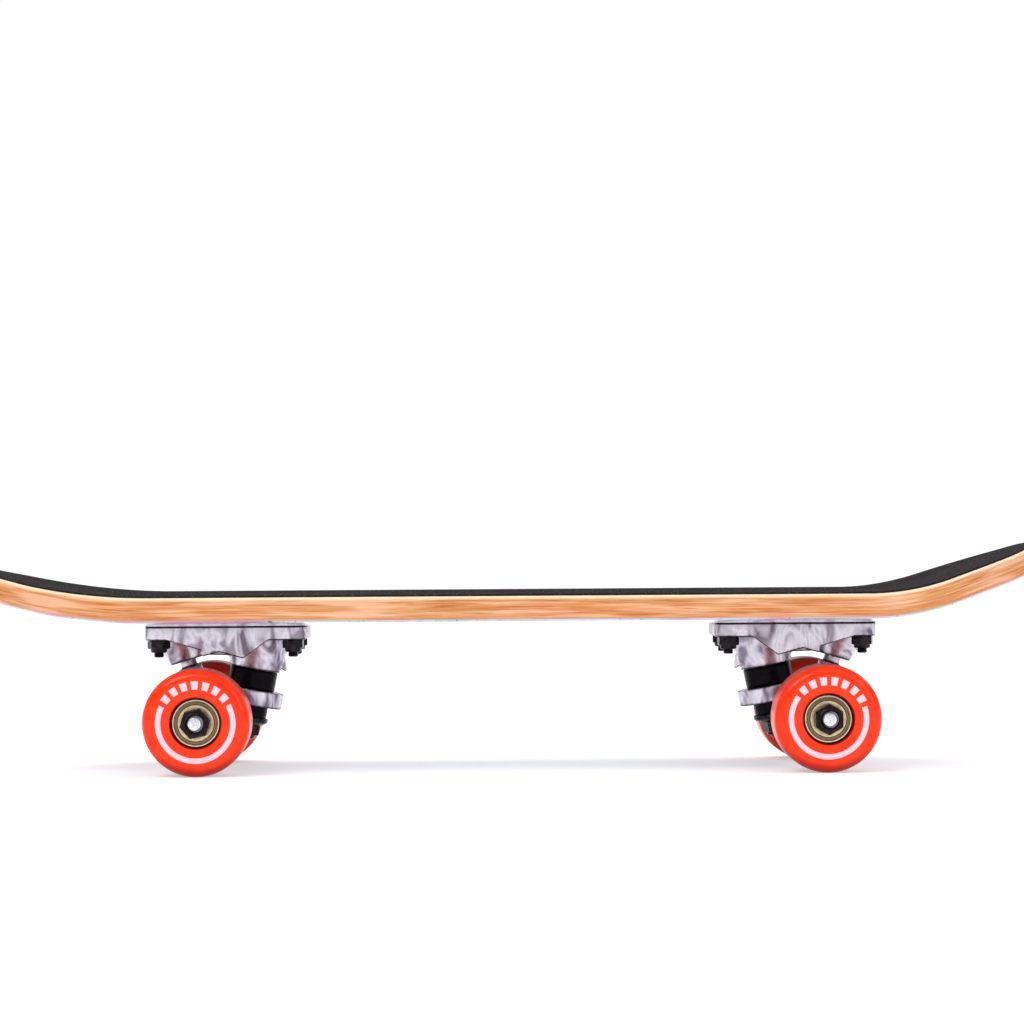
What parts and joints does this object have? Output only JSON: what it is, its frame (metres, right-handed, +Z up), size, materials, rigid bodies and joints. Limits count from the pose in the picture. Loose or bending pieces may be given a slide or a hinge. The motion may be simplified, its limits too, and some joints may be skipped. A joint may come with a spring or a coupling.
{
  "type": "skateboard",
  "caption": "Small complete skateboard: laminated deck with two kicks and grip tape, two steerable cast trucks and free-rolling ball-bearing wheels.",
  "frame": {"origin": "on the ground, under the middle of the board, where all four wheels stand on Z = 0", "axes": "+X along the board towards the steeper kick, the front; +Y across to the rider's left; +Z up"},
  "size_m": [0.5098, 0.152, 0.106],
  "materials": {
    "deck_wood": "clear-sealed laminated wood, streaked along the grain, with a pale top ply",
    "grip": "coarse mineral grit, matte with fine sparkle",
    "cast_aluminium": "bright tumbled die casting with soft edges",
    "bushing_urethane": "smooth black urethane, satin",
    "black_rubber": "moulded, matte",
    "black_steel": "black oxide, slightly oily",
    "axle_steel": "bright zinc, turned",
    "bearing_steel": "yellow-passivated ground steel",
    "bearing_shield": "yellow-passivated pressed sheet",
    "cage_nylon": "moulded, matte",
    "wheel_urethane": "cast urethane, glossy, with a pale printed ring"
  },
  "bodies": {
    "board": {"deck": "deck_wood", "grip_tape": "grip", "front_baseplate": "cast_aluminium", "front_pivot_cup": "black_rubber", "front_kingpin": "black_steel", "front_upper_bushing": "bushing_urethane", "front_lower_bushing": "bushing_urethane", "front_cup_washer": "black_steel", "front_kingpin_nut": "black_steel", "front_mounting_bolts": "black_steel", "front_mounting_nuts": "black_steel", "rear_baseplate": "cast_aluminium", "rear_pivot_cup": "black_rubber", "rear_kingpin": "black_steel", "rear_upper_bushing": "bushing_urethane", "rear_lower_bushing": "bushing_urethane", "rear_cup_washer": "black_steel", "rear_kingpin_nut": "black_steel", "rear_mounting_bolts": "black_steel", "rear_mounting_nuts": "black_steel"},
    "front_hanger": {"front_hanger": "cast_aluminium", "front_axle": "axle_steel", "front_left_inner_races": "bearing_steel", "front_left_speed_washers": "axle_steel", "front_left_axle_nut": "black_steel", "front_right_inner_races": "bearing_steel", "front_right_speed_washers": "axle_steel", "front_right_axle_nut": "black_steel"},
    "front_left_wheel": {"front_left_wheel": "wheel_urethane", "front_left_outer_races": "bearing_steel", "front_left_shields": "bearing_shield"},
    "front_left_cages": {"front_left_cages": "cage_nylon", "front_left_balls": "axle_steel"},
    "front_right_wheel": {"front_right_wheel": "wheel_urethane", "front_right_outer_races": "bearing_steel", "front_right_shields": "bearing_shield"},
    "front_right_cages": {"front_right_cages": "cage_nylon", "front_right_balls": "axle_steel"},
    "rear_hanger": {"rear_hanger": "cast_aluminium", "rear_axle": "axle_steel", "rear_left_inner_races": "bearing_steel", "rear_left_speed_washers": "axle_steel", "rear_left_axle_nut": "black_steel", "rear_right_inner_races": "bearing_steel", "rear_right_speed_washers": "axle_steel", "rear_right_axle_nut": "black_steel"},
    "rear_left_wheel": {"rear_left_wheel": "wheel_urethane", "rear_left_outer_races": "bearing_steel", "rear_left_shields": "bearing_shield"},
    "rear_left_cages": {"rear_left_cages": "cage_nylon", "rear_left_balls": "axle_steel"},
    "rear_right_wheel": {"rear_right_wheel": "wheel_urethane", "rear_right_outer_races": "bearing_steel", "rear_right_shields": "bearing_shield"},
    "rear_right_cages": {"rear_right_cages": "cage_nylon", "rear_right_balls": "axle_steel"}
  },
  "joints": [
    {"name": "front_steer", "type": "hinge", "parent": "board", "child": "front_hanger", "pos_m": [0.12525, 0, 0.03483], "axis": [0.8341, 0, 0.5516], "range_deg": [-15, 15], "stiffness_Nm_per_rad": 40, "deforming": ["front_upper_bushing", "front_lower_bushing"]},
    {"name": "front_left_spin", "type": "hinge", "parent": "front_hanger", "child": "front_left_wheel", "pos_m": [0.1461, 0, 0.025], "axis": [0, 1, 0], "continuous": true},
    {"name": "front_left_cage_spin", "type": "hinge", "parent": "front_hanger", "child": "front_left_cages", "pos_m": [0.1461, 0, 0.025], "axis": [0, 1, 0], "continuous": true},
    {"name": "front_right_spin", "type": "hinge", "parent": "front_hanger", "child": "front_right_wheel", "pos_m": [0.1461, 0, 0.025], "axis": [0, 1, 0], "continuous": true},
    {"name": "front_right_cage_spin", "type": "hinge", "parent": "front_hanger", "child": "front_right_cages", "pos_m": [0.1461, 0, 0.025], "axis": [0, 1, 0], "continuous": true},
    {"name": "rear_steer", "type": "hinge", "parent": "board", "child": "rear_hanger", "pos_m": [-0.12525, 0, 0.03483], "axis": [-0.8341, 0, 0.5516], "range_deg": [-15, 15], "stiffness_Nm_per_rad": 40, "deforming": ["rear_upper_bushing", "rear_lower_bushing"]},
    {"name": "rear_left_spin", "type": "hinge", "parent": "rear_hanger", "child": "rear_left_wheel", "pos_m": [-0.1461, 0, 0.025], "axis": [0, 1, 0], "continuous": true},
    {"name": "rear_left_cage_spin", "type": "hinge", "parent": "rear_hanger", "child": "rear_left_cages", "pos_m": [-0.1461, 0, 0.025], "axis": [0, 1, 0], "continuous": true},
    {"name": "rear_right_spin", "type": "hinge", "parent": "rear_hanger", "child": "rear_right_wheel", "pos_m": [-0.1461, 0, 0.025], "axis": [0, 1, 0], "continuous": true},
    {"name": "rear_right_cage_spin", "type": "hinge", "parent": "rear_hanger", "child": "rear_right_cages", "pos_m": [-0.1461, 0, 0.025], "axis": [0, 1, 0], "continuous": true}
  ],
  "couplings": [
    {"joint": "front_left_cage_spin", "follows": "front_left_spin", "ratio": 0.6323},
    {"joint": "front_right_cage_spin", "follows": "front_right_spin", "ratio": 0.6323},
    {"joint": "rear_left_cage_spin", "follows": "rear_left_spin", "ratio": 0.6323},
    {"joint": "rear_right_cage_spin", "follows": "rear_right_spin", "ratio": 0.6323}
  ]
}
